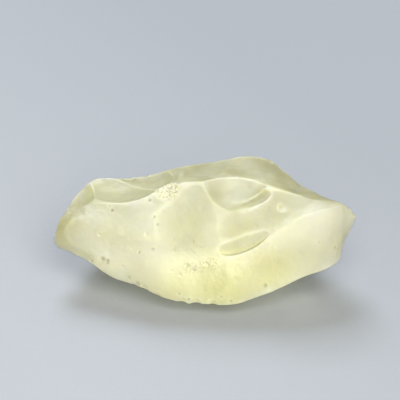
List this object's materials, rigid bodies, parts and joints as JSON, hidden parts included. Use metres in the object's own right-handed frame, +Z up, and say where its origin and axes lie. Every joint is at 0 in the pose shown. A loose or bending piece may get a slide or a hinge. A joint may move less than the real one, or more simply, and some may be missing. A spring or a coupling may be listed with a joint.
{
  "type": "libyan desert glass stone",
  "caption": "Loose flaked and wind-worn stone of pale yellow natural glass, long and low with a pointed tip, resting on a small flat spot.",
  "frame": {"origin": "middle of the stone seen from above, on the plane that its flat spot rests on", "axes": "+X along the stone's length towards its pointed tip, +Y towards its back, +Z up"},
  "size_m": [0.0377, 0.0206, 0.0132],
  "materials": {
    "natural_glass": "frosted by sand, translucent"
  },
  "bodies": {
    "root": {"desert_glass": "natural_glass"}
  },
  "joints": []
}
